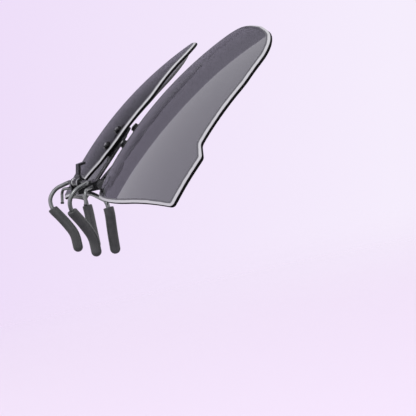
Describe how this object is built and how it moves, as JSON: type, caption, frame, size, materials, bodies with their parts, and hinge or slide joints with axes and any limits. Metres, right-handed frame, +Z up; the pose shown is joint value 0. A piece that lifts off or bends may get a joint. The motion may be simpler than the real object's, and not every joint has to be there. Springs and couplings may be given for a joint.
{
  "type": "clip-on flip lenses",
  "caption": "Clip-on tinted lenses for spectacles: rimless lenses on a bridge bracket that hinges up, with a sprung wire clamp and rubber-sleeved arms.",
  "frame": {"origin": "middle of the grip: halfway between the front and rear rubber sleeves, on the symmetry plane", "axes": "+X across the face to the wearer's left, -Y forward, +Z up"},
  "size_m": [0.1212, 0.0522, 0.048],
  "materials": {
    "tinted_lens": "polished dark grey polarised lens",
    "black_steel": "black plated stamping, satin",
    "gunmetal_wire": "gunmetal plated wire, satin",
    "screw_steel": "black plated",
    "spring_steel": "bright drawn",
    "nylon": "black nylon",
    "rubber_sleeve": "matte dark grey rubber"
  },
  "bodies": {
    "clip_base": {"saddle": "black_steel", "flip_axle": "screw_steel", "axle_retaining_ring": "screw_steel", "hinge_washers": "nylon", "detent_spring": "spring_steel", "detent_rivet": "screw_steel", "front_wire_left": "gunmetal_wire", "front_wire_right": "gunmetal_wire", "front_sleeve_left": "rubber_sleeve", "front_sleeve_right": "rubber_sleeve", "stop_wire_left": "gunmetal_wire", "stop_wire_right": "gunmetal_wire", "stop_tips": "nylon", "torsion_springs": "spring_steel"},
    "flip_lenses": {"lens_left": "tinted_lens", "lens_right": "tinted_lens", "bridge_bracket": "black_steel", "lens_screws": "screw_steel", "screw_washers": "nylon", "lens_nuts": "screw_steel"},
    "rear_clamp": {"clamp_lever": "black_steel", "rear_wire_left": "gunmetal_wire", "rear_wire_right": "gunmetal_wire", "rear_sleeve_left": "rubber_sleeve", "rear_sleeve_right": "rubber_sleeve"}
  },
  "joints": [
    {"name": "lens_flip", "type": "hinge", "parent": "clip_base", "child": "flip_lenses", "pos_m": [0, -0.0038, 0.0135], "axis": [-1, 0, 0], "range_deg": [-132, 48]},
    {"name": "clamp_open", "type": "hinge", "parent": "clip_base", "child": "rear_clamp", "pos_m": [0, 0.0009, 0.0151], "axis": [1, 0, 0], "range_deg": [0, 18], "stiffness_Nm_per_rad": 0.02, "springref_deg": -22.92, "deforming": ["torsion_springs"]}
  ]
}
